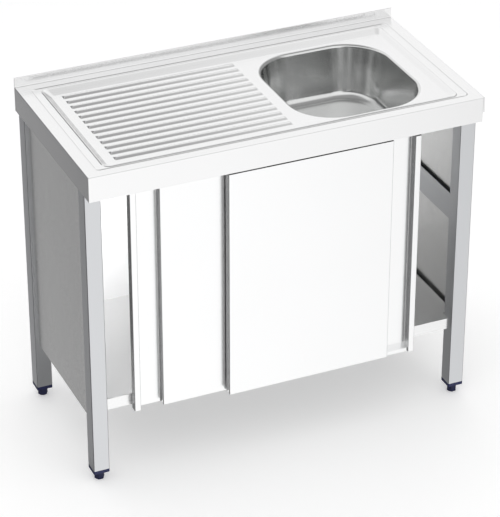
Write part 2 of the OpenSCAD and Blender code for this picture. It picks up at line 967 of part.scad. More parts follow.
worktop();
bowl();
drainer_stiffener();
leg_tube(-leg_x, leg_front_y, header_z);  // leg_front_left
leg_tube(leg_x, leg_front_y, header_z);  // leg_front_right
leg_tube(-leg_x, leg_rear_y, land_under);  // leg_rear_left
leg_tube(leg_x, leg_rear_y, land_under);  // leg_rear_right
leg_insert(-leg_x, leg_front_y);  // insert_front_left
leg_insert(leg_x, leg_front_y);  // insert_front_right
leg_insert(-leg_x, leg_rear_y);  // insert_rear_left
leg_insert(leg_x, leg_rear_y);  // insert_rear_right
screw_foot(-leg_x, leg_front_y);  // foot_front_left
screw_foot(leg_x, leg_front_y);  // foot_front_right
screw_foot(-leg_x, leg_rear_y);  // foot_rear_left
screw_foot(leg_x, leg_rear_y);  // foot_rear_right
side_panel(-1);  // side_panel_left
side_panel(1);  // side_panel_right
back_panel();
top_rail(-1);  // top_rail_left
top_rail(1);  // top_rail_right
top_rail_rear();
mid_rail(-1);  // mid_rail_left
mid_rail(1);  // mid_rail_right
lower_rail(-1);  // lower_rail_left
lower_rail(1);  // lower_rail_right
shelf();
shelf_stiffener();
front_header();
front_track();
rear_track();
track_stops();
track_rivets();
door_guide();
guide_rivets();
panel_rivets();
door_skin(1);  // right_door_skin
door_back(1);  // right_door_back
door_top(1);  // right_door_top
door_bottom_channel(1);  // right_door_bottom
hangers(1);  // right_hangers
hanger_screws(1);  // right_hanger_screws
axles(1);  // right_axles
rollers(1, hanger_u[0]);  // right_rollers_a
rollers(1, hanger_u[1]);  // right_rollers_b
door_skin(-1);  // left_door_skin
door_back(-1);  // left_door_back
door_top(-1);  // left_door_top
door_bottom_channel(-1);  // left_door_bottom
hangers(-1);  // left_hangers
hanger_screws(-1);  // left_hanger_screws
axles(-1);  // left_axles
rollers(-1, hanger_u[0]);  // left_rollers_a
rollers(-1, hanger_u[1]);  // left_rollers_b
waste_flange();
waste_gasket();
waste_body();
waste_screw();
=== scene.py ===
import json
import math
import bmesh
import bpy
import numpy as np
from mathutils import Matrix, Vector
from mathutils.geometry import tessellate_polygon


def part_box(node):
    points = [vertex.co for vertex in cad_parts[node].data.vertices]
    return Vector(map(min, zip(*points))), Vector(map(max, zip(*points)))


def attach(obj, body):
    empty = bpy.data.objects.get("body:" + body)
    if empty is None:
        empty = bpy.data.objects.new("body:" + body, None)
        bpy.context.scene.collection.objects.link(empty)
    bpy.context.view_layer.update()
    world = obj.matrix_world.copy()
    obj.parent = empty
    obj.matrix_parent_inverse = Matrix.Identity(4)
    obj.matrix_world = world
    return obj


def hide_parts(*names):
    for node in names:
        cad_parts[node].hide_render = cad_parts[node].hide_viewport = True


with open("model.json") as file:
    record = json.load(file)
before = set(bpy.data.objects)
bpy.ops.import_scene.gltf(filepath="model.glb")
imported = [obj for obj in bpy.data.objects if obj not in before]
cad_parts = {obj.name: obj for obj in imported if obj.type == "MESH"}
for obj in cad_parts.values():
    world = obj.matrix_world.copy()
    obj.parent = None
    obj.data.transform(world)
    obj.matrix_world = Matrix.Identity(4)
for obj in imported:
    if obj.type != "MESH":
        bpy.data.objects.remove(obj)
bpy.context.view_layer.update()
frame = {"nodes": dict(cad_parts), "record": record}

mm = 0.001

# Camera, at the photograph's angle

cameraSetup = {
    "place": (-2.1361, -4.8437, 3.4782),
    "azimuth": 23.83,        # degrees, 0 looks along +Y
    "elevation": 30.22,
    "roll": 0.05,
    "focalPixels": 2489.1,
    "framePixels": (500, 517),
    "sensor": 36.0,
    "clip": (0.1, 60),
}


def makeCamera(s):
    # Looks along (sin az cos el, cos az cos el, -sin el) and is rolled about that line
    az, el, roll = (math.radians(s[k]) for k in ("azimuth", "elevation", "roll"))
    forward = Vector((math.sin(az) * math.cos(el), math.cos(az) * math.cos(el), -math.sin(el)))
    right = forward.cross(Vector((0, 0, 1))).normalized()
    up = right.cross(forward)
    right, up = (right * math.cos(roll) + up * math.sin(roll),
                 up * math.cos(roll) - right * math.sin(roll))
    data = bpy.data.cameras.new("photoCamera")
    data.sensor_width = s["sensor"]
    data.lens = s["focalPixels"] * s["sensor"] / max(s["framePixels"])
    data.clip_start, data.clip_end = s["clip"]
    cam = bpy.data.objects.new("photoCamera", data)
    turn = Matrix((right, up, -forward)).transposed().to_4x4()
    cam.matrix_world = Matrix.Translation(s["place"]) @ turn
    bpy.context.scene.collection.objects.link(cam)
    bpy.context.scene.camera = cam


makeCamera(cameraSetup)
print("camera placed")

# Node helpers


def addNode(tree, kind, **inputs):
    # New node; a key names a property or an input socket, and _0 is the first socket
    node = tree.nodes.new(kind)
    for key, value in inputs.items():
        if hasattr(node, key) and not key.startswith("_"):
            setattr(node, key, value)
            continue
        socket = node.inputs[int(key[1:]) if key.startswith("_") else key.replace("_", " ")]
        if isinstance(value, bpy.types.NodeSocket):
            tree.links.new(value, socket)
        else:
            socket.default_value = value
    return node


def calc(tree, operation, a, b=0.0, c=0.0, clamp=False):
    # One sum, such as a + b or a * b, as a node
    node = addNode(tree, "ShaderNodeMath", operation=operation, use_clamp=clamp, _0=a, _1=b, _2=c)
    return node.outputs[0]


def smoothStep(tree, value, low, high):
    # 0 at low, 1 at high and level at both, 3 t^2 - 2 t^3 between
    return addNode(tree, "ShaderNodeMapRange", interpolation_type="SMOOTHSTEP",
                   Value=value, From_Min=low, From_Max=high).outputs[0]


def lerp(tree, factor, a, b):
    # a + factor * (b - a)
    return calc(tree, "ADD", a, calc(tree, "MULTIPLY", factor, calc(tree, "SUBTRACT", b, a)))


# Soft studio light

studio = {
    "base": 1.06,
    "front": 1.16,        # white wall before the cabinet
    "frontRight": 0.82,   # the same wall where it recedes to the right
    "rightWall": 0.40,    # grey wall on the right
    "ceiling": 0.38,
    "leftWall": 0.145,    # dark flag on the left, from below the floor to above the worktop
    "leftFront": 0.12,    # the same flag where it comes round before the cabinet
    "leftBlue": 1.02,     # the flag's cool cast
    "strength": 1.0,
    # Where one wall fades into the next, in the direction's x, y or z
    "ceilingEdge": (0.75, 0.91),
    "frontEdge": (-0.25, -0.6),
    "frontRightEdge": (0.33, 0.60),
    "rightWallEdge": (0.48, 0.66),
    "leftWallEdge": (-0.14, -0.30),
    "leftWallTop": (0.62, 0.46),
    "leftFrontEdge": (0.2, -0.4),
}


def makeStudio(s):
    # World whose brightness depends on the direction: one wall's level blends into the next
    world = bpy.data.worlds.new("studio")
    world.use_nodes = True
    tree = world.node_tree
    tree.nodes.clear()
    way = addNode(tree, "ShaderNodeSeparateXYZ",
                  Vector=addNode(tree, "ShaderNodeTexCoord").outputs["Generated"]).outputs
    x, y, z = way[0], way[1], way[2]
    level = lerp(tree, smoothStep(tree, z, *s["ceilingEdge"]), s["base"], s["ceiling"])
    front = lerp(tree, smoothStep(tree, x, *s["frontRightEdge"]), s["front"], s["frontRight"])
    level = lerp(tree, smoothStep(tree, y, *s["frontEdge"]), level, front)
    level = lerp(tree, smoothStep(tree, x, *s["rightWallEdge"]), level, s["rightWall"])
    leftMask = calc(tree, "MULTIPLY", smoothStep(tree, x, *s["leftWallEdge"]),
                    smoothStep(tree, z, *s["leftWallTop"]))
    flag = lerp(tree, smoothStep(tree, y, *s["leftFrontEdge"]), s["leftWall"], s["leftFront"])
    level = lerp(tree, leftMask, level, flag)
    blue = calc(tree, "MULTIPLY", level, lerp(tree, leftMask, 1.0, s["leftBlue"]))
    tint = addNode(tree, "ShaderNodeCombineColor", _0=level, _1=level, _2=blue)
    light = addNode(tree, "ShaderNodeBackground", Color=tint.outputs[0], Strength=s["strength"])
    # The walls light the cabinet and are mirrored in it; behind it the picture shows plain white
    backdrop = addNode(tree, "ShaderNodeBackground", Color=(1, 1, 1, 1), Strength=1.0)
    seen = addNode(tree, "ShaderNodeLightPath").outputs["Is Camera Ray"]
    both = addNode(tree, "ShaderNodeMixShader", _0=seen, _1=light.outputs[0], _2=backdrop.outputs[0])
    addNode(tree, "ShaderNodeOutputWorld", Surface=both.outputs[0])
    bpy.context.scene.world = world
    bpy.context.scene.view_settings.view_transform = "Standard"


makeStudio(studio)

floorSetup = {"half": 9.0, "albedo": 0.85, "glow": 0.36, "rough": 0.9, "shine": 0.1}
# Dark cards that only the steel mirrors, glowing faintly as painted shade in its reflections: the
# floor's shadow under the cabinet, and painted shade inside its left side, across its middle and over
# the right door's upper edge
darkCards = {
    "floorShadow": {"low": (-0.51, -0.22, 0.0005), "high": (0.51, 0.24, 0.0005), "level": 0.26},
    "innerFlag": {"low": (-0.452, -0.19, 0.24), "high": (-0.452, 0.12, 0.78), "level": 0.10},
    "middleFlag": {"low": (-0.015, -0.17, 0.24), "high": (-0.015, 0.21, 0.78), "level": 0.14},
    "slotShade": {"low": (-0.50, -0.247, 0.7865), "high": (0.50, -0.205, 0.7865), "level": 0.04},
}


def makeFloor(s):
    # One square at height 0, which glows a little so that it stays pale
    mesh = bpy.data.meshes.new("floor")
    h = s["half"]
    mesh.from_pydata([(-h, -h, 0), (h, -h, 0), (h, h, 0), (-h, h, 0)], [], [(0, 1, 2, 3)])
    floor = bpy.data.objects.new("floor", mesh)
    bpy.context.scene.collection.objects.link(floor)
    mat = bpy.data.materials.new("paleFloor")
    mat.use_nodes = True
    shader = mat.node_tree.nodes["Principled BSDF"]
    shader.inputs["Base Color"].default_value = (s["albedo"],) * 3 + (1,)
    shader.inputs["Roughness"].default_value = s["rough"]
    shader.inputs["Specular IOR Level"].default_value = s["shine"]
    shader.inputs["Emission Color"].default_value = (1, 1, 1, 1)
    shader.inputs["Emission Strength"].default_value = s["glow"]
    # Seen from below, the floor lets the cabinet's underside show
    below = addNode(mat.node_tree, "ShaderNodeNewGeometry").outputs["Backfacing"]
    mat.node_tree.links.new(calc(mat.node_tree, "SUBTRACT", 1.0, below), shader.inputs["Alpha"])
    mesh.materials.append(mat)
    floor.visible_glossy = False


def makeDarkCard(name, s):
    # Flat card between two opposite corners, which lie in one plane
    (x0, y0, z0), (x1, y1, z1) = s["low"], s["high"]
    flat = [(x0, y0, z0), (x1, y0, z0), (x1, y1, z1), (x0, y1, z1)]
    upright = [(x0, y0, z0), (x0, y1, z0), (x0, y1, z1), (x0, y0, z1)]
    mesh = bpy.data.meshes.new(name)
    mesh.from_pydata(flat if z0 == z1 else upright, [], [(0, 1, 2, 3)])
    card = bpy.data.objects.new(name, mesh)
    bpy.context.scene.collection.objects.link(card)
    mat = bpy.data.materials.new(name + "Card")
    mat.use_nodes = True
    shader = mat.node_tree.nodes["Principled BSDF"]
    shader.inputs["Base Color"].default_value = (0, 0, 0, 1)
    shader.inputs["Specular IOR Level"].default_value = 0.0
    shader.inputs["Emission Color"].default_value = (1, 1, 1, 1)
    shader.inputs["Emission Strength"].default_value = s["level"]
    mesh.materials.append(mat)
    # Seen only in reflections, the card's faint glow is painted shade
    card.visible_camera = card.visible_diffuse = card.visible_shadow = False


makeFloor(floorSetup)
for name, s in darkCards.items():
    makeDarkCard(name, s)

# Broad light overhead for the floor's soft shadow; the steel doesn't mirror it
overhead = {"size": 3.2, "height": 3.4, "level": 0.85}


def makeOverhead(s):
    # An area light of power P shows a radiance of P / (pi * area)
    data = bpy.data.lights.new("overhead", "AREA")
    data.shape = "SQUARE"
    data.size = s["size"]
    data.energy = s["level"] * math.pi * s["size"] ** 2
    light = bpy.data.objects.new("overhead", data)
    light.location = (0, 0, s["height"])
    light.visible_glossy = light.visible_camera = False
    bpy.context.scene.collection.objects.link(light)


makeOverhead(overhead)

# Light inside the cabinet, which came through the door openings
fillLights = {
    "leftOpening": {"span": (-0.44, -0.02), "level": 2.4, "top": 0.80},
    "rightSide": {"span": (0.13, 0.40), "level": 0.95, "top": 0.64},
}


fillPlane = {"y": -0.2005, "low": 0.225}    # behind the doors, and just above the shelf


def makeFill(name, s, plane):
    # Upright rectangle facing the rear, of power level * pi * area
    x0, x1 = s["span"]
    y, low = plane["y"], plane["low"]
    high = s["top"]
    data = bpy.data.lights.new(name, "AREA")
    data.shape = "RECTANGLE"
    data.size, data.size_y = x1 - x0, high - low
    data.energy = s["level"] * math.pi * data.size * data.size_y
    light = bpy.data.objects.new(name, data)
    light.location = ((x0 + x1) / 2, y, (low + high) / 2)
    light.rotation_euler = (math.radians(90), 0, 0)
    light.visible_camera = False
    bpy.context.scene.collection.objects.link(light)


for name, s in fillLights.items():
    makeFill(name, s, fillPlane)
print("studio lit")

# Materials


def newGroup(name, ins, outs):
    # Empty shader node group with its named sockets
    group = bpy.data.node_groups.new(name, "ShaderNodeTree")
    for label, kind, value in ins:
        socket = group.interface.new_socket(label, in_out="INPUT", socket_type=kind)
        if value is not None:
            socket.default_value = value
    for label, kind in outs:
        group.interface.new_socket(label, in_out="OUTPUT", socket_type=kind)
    given, out = group.nodes.new("NodeGroupInput"), group.nodes.new("NodeGroupOutput")
    return group, given.outputs, out.inputs


def makeBrushGrain():
    # Fine lines: noise of the place times the stretch, and a slow cloud of handling
    group, given, out = newGroup("brushGrain",
        [("Stretch", "NodeSocketVector", (1, 1, 1)), ("Fineness", "NodeSocketFloat", 900.0)],
        [("Lines", "NodeSocketFloat"), ("Cloud", "NodeSocketFloat")])
    place = addNode(group, "ShaderNodeTexCoord").outputs["Object"]
    drawn = addNode(group, "ShaderNodeVectorMath", operation="MULTIPLY", _0=place, _1=given["Stretch"])
    fine = addNode(group, "ShaderNodeTexNoise", Vector=drawn.outputs[0], Scale=given["Fineness"],
                   Detail=3.0, Roughness=0.6)
    cloud = addNode(group, "ShaderNodeTexNoise", Vector=place, Scale=4.5, Detail=3.0, Roughness=0.55)
    group.links.new(fine.outputs["Fac"], out["Lines"])
    group.links.new(cloud.outputs["Fac"], out["Cloud"])
    return group


def makeFineWear():
    # Small worn spots: the part of a broken noise over a level that falls with the amount
    group, given, out = newGroup("fineWear",
        [("Scale", "NodeSocketFloat", 60.0), ("Amount", "NodeSocketFloat", 0.5)],
        [("Mask", "NodeSocketFloat")])
    place = addNode(group, "ShaderNodeTexCoord").outputs["Object"]
    specks = addNode(group, "ShaderNodeTexNoise", Vector=place, Scale=given["Scale"], Detail=6.0,
                     Roughness=0.7)
    low = calc(group, "SUBTRACT", 0.78, calc(group, "MULTIPLY", given["Amount"], 0.25))
    over = calc(group, "SUBTRACT", specks.outputs["Fac"], low)
    group.links.new(calc(group, "MULTIPLY", over, 6.0, clamp=True), out["Mask"])
    return group


brushGrain = makeBrushGrain()
fineWear = makeFineWear()


def placeGroup(tree, group, **values):
    # The group's node in a material, with that material's own values
    node = tree.nodes.new("ShaderNodeGroup")
    node.node_tree = group
    for key, value in values.items():
        node.inputs[key].default_value = value
    return node.outputs


def mixColour(tree, factor, a, b):
    # a + factor * (b - a), for colours
    node = addNode(tree, "ShaderNodeMix", data_type="RGBA", Factor=factor)
    for socket, value in ((node.inputs[6], a), (node.inputs[7], b)):
        if isinstance(value, bpy.types.NodeSocket):
            tree.links.new(value, socket)
        else:
            socket.default_value = (*value, 1)
    return node.outputs[2]


steelLook = {
    "roughSpread": 0.05,    # between the lines of the brushing
    "shade": 0.04,          # how much darker the lines are
    "cloudRough": 0.035,
    "spotScale": 45.0, "spotTone": 0.06, "spotShade": 0.8, "spotRough": 0.08,
    # Above a height: fade, painted shade, and added roughness
    "topFade": 0.0004, "topPaintedShade": 0.80, "topRough": 0.24,
    "bumpHeight": 0.0002,
}


def steelFinish(name, colour, rough, stretch, fineness=900.0, grainDepth=0.02, wear=0.3,
                shadeAndDullAbove=None):
    # Tone and roughness = base + lines + cloud + worn spots, with painted shade and more roughness
    # above a given height; the lines also tilt the surface
    s = steelLook
    mat = bpy.data.materials.new(name)
    mat.use_nodes = True
    tree = mat.node_tree
    shader = tree.nodes["Principled BSDF"]
    grain = placeGroup(tree, brushGrain, Stretch=stretch, Fineness=fineness)
    spots = placeGroup(tree, fineWear, Scale=s["spotScale"], Amount=wear)
    darker = tuple(c * (1 - s["shade"]) for c in colour)
    worn = tuple(c * s["spotShade"] for c in colour)
    tone = mixColour(tree, grain["Lines"], darker, colour)
    tone = mixColour(tree, calc(tree, "MULTIPLY", spots["Mask"], s["spotTone"]), tone, worn)
    dull = calc(tree, "ADD", rough - s["roughSpread"] / 2,
                calc(tree, "MULTIPLY", grain["Lines"], s["roughSpread"]))
    if shadeAndDullAbove is not None:
        # An upper side darker above this height, painted shade, and duller there
        place = addNode(tree, "ShaderNodeTexCoord").outputs["Object"]
        height = addNode(tree, "ShaderNodeSeparateXYZ", Vector=place).outputs[2]
        top = smoothStep(tree, height, shadeAndDullAbove - s["topFade"], shadeAndDullAbove)
        tone = mixColour(tree, top, tone, tuple(c * s["topPaintedShade"] for c in colour))
        dull = calc(tree, "ADD", dull, calc(tree, "MULTIPLY", top, s["topRough"]))
    tree.links.new(tone, shader.inputs["Base Color"])
    cloud = calc(tree, "SUBTRACT", grain["Cloud"], 0.5)
    dull = calc(tree, "ADD", dull, calc(tree, "MULTIPLY", cloud, s["cloudRough"]))
    dull = calc(tree, "ADD", dull, calc(tree, "MULTIPLY", spots["Mask"], s["spotRough"]))
    tree.links.new(dull, shader.inputs["Roughness"])
    shader.inputs["Metallic"].default_value = 1.0
    bump = addNode(tree, "ShaderNodeBump", Strength=grainDepth, Distance=s["bumpHeight"],
                   Height=grain["Lines"])
    tree.links.new(bump.outputs[0], shader.inputs["Normal"])
    return mat


mouldedLook = {
    "fineness": 1400.0, "grainDepth": 0.15, "bumpHeight": 0.0003, "roughSpread": 0.1,
    "cloudDark": 0.86, "cloudLight": 1.1,
    "spotScale": 120.0, "spotAmount": 0.6, "spotTone": 0.25, "spotGain": 1.5, "spotLift": 0.03,
}


def mouldedFinish(name, colour, rough):
    # Plastic or rubber: tone = cloud of two shades + pale spots, roughness = base + grain
    s = mouldedLook
    mat = bpy.data.materials.new(name)
    mat.use_nodes = True
    tree = mat.node_tree
    shader = tree.nodes["Principled BSDF"]
    grain = placeGroup(tree, brushGrain, Stretch=(1, 1, 1), Fineness=s["fineness"])
    spots = placeGroup(tree, fineWear, Scale=s["spotScale"], Amount=s["spotAmount"])
    dark = tuple(c * s["cloudDark"] for c in colour)
    light = tuple(min(1, c * s["cloudLight"]) for c in colour)
    pale = tuple(min(1, c * s["spotGain"] + s["spotLift"]) for c in colour)
    tone = mixColour(tree, grain["Cloud"], dark, light)
    tone = mixColour(tree, calc(tree, "MULTIPLY", spots["Mask"], s["spotTone"]), tone, pale)
    tree.links.new(tone, shader.inputs["Base Color"])
    dull = calc(tree, "ADD", rough - s["roughSpread"] / 2,
                calc(tree, "MULTIPLY", grain["Lines"], s["roughSpread"]))
    tree.links.new(dull, shader.inputs["Roughness"])
    bump = addNode(tree, "ShaderNodeBump", Strength=s["grainDepth"], Distance=s["bumpHeight"],
                   Height=grain["Lines"])
    tree.links.new(bump.outputs[0], shader.inputs["Normal"])
    return mat


alongX, alongZ = (0.03, 1, 1), (1, 1, 0.03)
evenGrain = (1, 1, 1)
finishes = {
    "satin_steel": steelFinish("satinWorktop", (0.87, 0.87, 0.872), 0.20, alongX),
    # The bowl's steel is darker than the worktop's: painted shade for the bowl's hollow
    "bowl_steel": steelFinish("shadedDrawnSteel", (0.712, 0.717, 0.713), 0.21, alongX),
    "tube_steel": steelFinish("brushedTube", (0.645, 0.655, 0.67), 0.29, alongZ),
    "panel_steel": steelFinish("satinPanel", (0.93, 0.93, 0.92), 0.27, alongX),
    "door_steel": steelFinish("brushedDoor", (0.95, 0.952, 0.954), 0.26, alongZ),
    "inner_steel": steelFinish("millSteel", (0.62, 0.63, 0.65), 0.38, evenGrain, 300.0, wear=0.6),
    "fastener_steel": steelFinish("turnedSteel", (0.60, 0.61, 0.63), 0.25, evenGrain, 1500.0),
    "insert_plastic": mouldedFinish("navyInsert", (0.008, 0.012, 0.080), 0.5),
    "foot_plastic": mouldedFinish("navyFoot", (0.007, 0.010, 0.062), 0.5),
    "roller_nylon": mouldedFinish("whiteNylon", (0.78, 0.78, 0.75), 0.35),
    "stop_rubber": mouldedFinish("blackRubber", (0.018, 0.018, 0.019), 0.75),
    "waste_plastic": mouldedFinish("wastePlastic", (0.72, 0.72, 0.70), 0.32),
}
# The shelf has painted shade and more roughness on its upper side alone, the back is matter than the
# other panels, and the hangers are painted dark, painted shade in the slot over the right door
shadedShelf = steelFinish("shadedShelf", (0.90, 0.90, 0.90), 0.27, alongX, grainDepth=0.008,
                           shadeAndDullAbove=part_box("shelf")[1][2] - 0.0002)
mattBack = steelFinish("mattBack", (0.96, 0.96, 0.96), 0.42, alongX, grainDepth=0.006)
# Hanger steel painted dark: painted shade where the hangers show in the slot over the right door
shadedHangerSteel = steelFinish("shadedHangerSteel", (0.13, 0.13, 0.135), 0.45, evenGrain, 300.0)
ownFinish = {"shelf": shadedShelf, "back_panel": mattBack, "right_hangers": shadedHangerSteel,
             "left_hangers": shadedHangerSteel}
slotOf = {p["node"]: p["material_slot"] for p in frame["record"]["subparts"]}
for name, cadObject in frame["nodes"].items():
    cadObject.data.materials.clear()
    cadObject.data.materials.append(ownFinish.get(name, finishes[slotOf[name]]))
print("materials made:", len(finishes))

# Surfaces


def joinShapes(shapes):
    # Points of all the shapes in a row, and their faces with each shape's start added
    points, faces, start = [], [], 0
    for p, f in shapes:
        points.append(p)
        faces += [tuple(i + start for i in face) for face in f]
        start += len(p)
    return np.concatenate(points), faces


def cutBox(piece, low, high):
    # The piece less the box between two corners in mm, kept in its mesh
    low, high = np.minimum(low, high), np.maximum(low, high)
    work = bmesh.new()
    bmesh.ops.create_cube(work, size=1.0)
    for v in work.verts:
        v.co = Vector((np.array(v.co) * (high - low) + (high + low) / 2) * mm)
    mesh = bpy.data.meshes.new("cutter")
    work.to_mesh(mesh)
    work.free()
    cutter = bpy.data.objects.new("cutter", mesh)
    bpy.context.scene.collection.objects.link(cutter)
    cut = piece.modifiers.new("cut", "BOOLEAN")
    cut.operation, cut.solver, cut.object = "DIFFERENCE", "EXACT", cutter
    graph = bpy.context.evaluated_depsgraph_get()
    whole = piece.data
    piece.data = bpy.data.meshes.new_from_object(piece.evaluated_get(graph))
    piece.modifiers.remove(cut)
    bpy.data.objects.remove(cutter)
    bpy.data.meshes.remove(mesh)
    bpy.data.meshes.remove(whole)


merge = {"weld": 1e-5, "thinnest": 1e-7}    # metres


def makePiece(name, shapes, slotName, body, stands, smooth=35.0, cuts=()):
    # One object of several shapes in mm: welded, turned outwards, cut, smoothed below an angle,
    # given its finish, and set in place of the CAD nodes that it stands for
    points, faces = joinShapes(shapes)
    mesh = bpy.data.meshes.new(name)
    mesh.from_pydata((points * mm).tolist(), [], faces)
    piece = bpy.data.objects.new(name, mesh)
    bpy.context.scene.collection.objects.link(piece)
    work = bmesh.new()
    work.from_mesh(mesh)
    bmesh.ops.remove_doubles(work, verts=work.verts, dist=merge["weld"])
    bmesh.ops.dissolve_degenerate(work, edges=work.edges, dist=merge["thinnest"])
    bmesh.ops.recalc_face_normals(work, faces=work.faces)
    work.to_mesh(mesh)
    work.free()
    for low, high in cuts:
        cutBox(piece, low, high)
    mesh = piece.data
    mesh.name = name
    mesh.materials.clear()
    mesh.polygons.foreach_set("use_smooth", np.ones(len(mesh.polygons), bool))
    mesh.set_sharp_from_angle(angle=math.radians(smooth))
    mesh.materials.append(finishes[slotName])
    even = piece.modifiers.new("evenNormals", "WEIGHTED_NORMAL")
    even.keep_sharp = True
    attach(piece, body)
    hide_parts(*stands)


def gridFaces(rows, columns, closed=False):
    # Quads of a grid of points, row after row; closed joins the last column to the first
    across = np.arange(columns if closed else columns - 1)
    i, j = np.meshgrid(np.arange(rows - 1), across, indexing="ij")
    k = (j + 1) % columns
    here, above = i * columns, (i + 1) * columns
    quads = np.stack([here + j, here + k, above + k, above + j], -1)
    return [tuple(q) for q in quads.reshape(-1, 4).tolist()]


def thicken(points, faces, shift):
    # Closes a sheet: a shifted copy turned over, and a strip along every open edge
    count = len(points)
    edges = {}
    for face in faces:
        for a, b in zip(face, face[1:] + face[:1]):
            edges[(a, b)] = 1
    rim = [(b, a, a + count, b + count) for a, b in edges if (b, a) not in edges]
    return np.concatenate([points, points + shift]), (
        list(faces) + [tuple(i + count for i in reversed(f)) for f in faces] + rim)


def outline(x0, x1, y0, y1, r, perSide=6, perCorner=12):
    # Rounded rectangle, anticlockwise from the front right corner: each corner is its centre plus
    # r (cos a, sin a) over a quarter turn, then a straight side, always with as many points
    t = np.arange(perSide) / perSide
    a = np.arange(perCorner) / perCorner * math.pi / 2
    corners = ((x1 - r, y0 + r, -90, (x1, y1 - r)), (x1 - r, y1 - r, 0, (x0 + r, y1)),
               (x0 + r, y1 - r, 90, (x0, y0 + r)), (x0 + r, y0 + r, 180, (x1 - r, y0)))
    loop = []
    for cx, cy, turn, following in corners:
        start = math.radians(turn)
        stop = start + math.pi / 2
        loop.append(np.stack([cx + r * np.cos(a + start), cy + r * np.sin(a + start)], -1))
        end = np.array([cx + r * math.cos(stop), cy + r * math.sin(stop)])
        loop.append(end + t[:, None] * (np.array(following) - end))
    return np.concatenate(loop)


def atHeight(flat, z):
    # (x, y) to (x, y, z)
    return np.column_stack([flat, np.full(len(flat), z)])


def flatFill(loops, z):
    # Flat sheet inside the first loop and outside the others
    triangles = tessellate_polygon([[Vector((*p, 0)) for p in loop] for loop in loops])
    points = atHeight(np.concatenate(loops), z)
    return points, [tuple(t) for t in triangles]


def roundedPath(corners, radii, step=18.0):
    # Polyline whose inner corners are arcs, each cut back by r tan(turn / 2) and stepped by an
    # angle; gives its points and the unit normals on its left
    corners = [np.array(c, float) for c in corners]
    points, normals = [], []

    def leftOf(d):
        # The direction turned a quarter turn to the left
        return np.array([-d[1], d[0]])

    def heading(a, b):
        # Unit direction from a to b
        return (b - a) / np.linalg.norm(b - a)

    points.append(corners[0])
    normals.append(leftOf(heading(corners[0], corners[1])))
    for i in range(1, len(corners) - 1):
        d0, d1 = heading(corners[i - 1], corners[i]), heading(corners[i], corners[i + 1])
        turn = math.atan2(d0[0] * d1[1] - d0[1] * d1[0], float(d0 @ d1))
        r = radii[i - 1]
        cut = r * math.tan(abs(turn) / 2)
        side = 1 if turn > 0 else -1
        centre = corners[i] - d0 * cut + leftOf(d0) * r * side
        count = max(2, round(abs(math.degrees(turn)) / step))
        for k in range(count + 1):
            a = turn * k / count
            n = leftOf(d0)
            n = np.array([n[0] * math.cos(a) - n[1] * math.sin(a),
                          n[0] * math.sin(a) + n[1] * math.cos(a)])
            points.append(centre - n * r * side)
            normals.append(n)
    points.append(corners[-1])
    normals.append(leftOf(heading(corners[-2], corners[-1])))
    return np.array(points), np.array(normals)


def foldedStrip(corners, radii, thick, low, high, place, rows=2):
    # Sheet folded along a path, outer face = path, inner face = path + thick * normal, and drawn
    # straight from low to high; place turns section and height into x, y, z
    outer, normals = roundedPath(corners, radii)
    inner = outer + normals * thick
    section = np.concatenate([outer, inner[::-1]])
    count = len(section)
    along = np.linspace(low, high, rows)
    grid = np.stack([np.column_stack([section, np.full(count, c)]) for c in along])
    faces = gridFaces(rows, count, closed=True)
    for row in (0, rows - 1):
        base, far = row * count, (row + 1) * count - 1
        faces += [(base + k, base + k + 1, far - 1 - k, far - k) for k in range(len(outer) - 1)]
    flat = grid.reshape(-1, 3)
    return place(flat[:, 0], flat[:, 1], flat[:, 2]), faces


def profileBar(section, low, high, place):
    # Closed section drawn straight from low to high, with a cap at each end
    count = len(section)
    grid = np.concatenate([np.column_stack([section, np.full(count, c)]) for c in (low, high)])
    caps = [tuple(t) for t in tessellate_polygon([[Vector((*p, 0)) for p in section]])]
    faces = gridFaces(2, count, closed=True) + caps + [tuple(i + count for i in t) for t in caps]
    return place(grid[:, 0], grid[:, 1], grid[:, 2]), faces


def mitredSweep(section, path):
    # Section (inward, height) carried along a path of right-angled corners: at a corner its
    # inward reach follows the sum of both sides' normals
    path = np.array(path, float)
    ways = np.diff(path, axis=0)
    ways /= np.linalg.norm(ways, axis=1)[:, None]
    inward = np.stack([-ways[:, 1], ways[:, 0]], -1)
    mitre = np.concatenate([inward[:1], inward[:-1] + inward[1:], inward[-1:]])
    rows = [np.column_stack([p + section[:, :1] * m, section[:, 1]]) for p, m in zip(path, mitre)]
    caps = [tuple(t) for t in tessellate_polygon([[Vector((*p, 0)) for p in section]])]
    last = (len(path) - 1) * len(section)
    faces = gridFaces(len(path), len(section), closed=True)
    return np.concatenate(rows), faces + caps + [tuple(i + last for i in t) for t in caps]


# Worktop

worktop = {
    "halfLength": 500.0, "halfDepth": 250.0, "rim": 850.0, "sheet": 1.2,
    "bend": 1.5,                      # outer radius where the deck turns down
    "edgeRadius": 0.5, "rimRadius": 12.0,
    # The rim's fine bead: inset from the edge, and drop below the rim
    "rimBead": ((20.0, 0.0), (27.4, 0.9), (28.0, 0.86), (29.4, 0.1), (30.0, 0.0), (30.7, 0.25),
                (32.0, 1.0)),
    "recessInset": (54.0, 38.0, 40.0),  # sides, front, rear
    "recessRun": (14.0, 15.0, 30.0),
    "recessRadius": (15.0, 10.0),
    # The recess's bead: distance outside its slope, and drop below the rim
    "recessBead": ((5.0, 1.0), (4.0, 1.45), (3.5, 1.4), (1.6, 0.1), (0.8, 0.0), (0.0, 0.3)),
    # The slope is straight with a small round at its head and foot: share of run, share of fall
    "recessSlope": ((0.05, 0.03), (0.12, 0.09), (0.5, 0.5), (0.88, 0.91), (0.95, 0.97), (1.0, 1.0)),
    "fieldDrop": 8.0,
    "upstand": 25.0, "upstandThick": 3.0, "upstandBend": 2.0,
    "apron": 62.0,
    # The right front corner, where the apron is cut out over the hem
    "cornerWide": 5.0, "cornerDeep": 12.0, "cornerRise": 24.0, "cornerGap": 0.5,
    "hem": 10.0, "hemFrom": 0.6, "hemTo": 2.4, "hemRadii": (0.5, 0.9), "hemSheet": 0.4,
    "hemEnds": (3.0, 5.05),
}
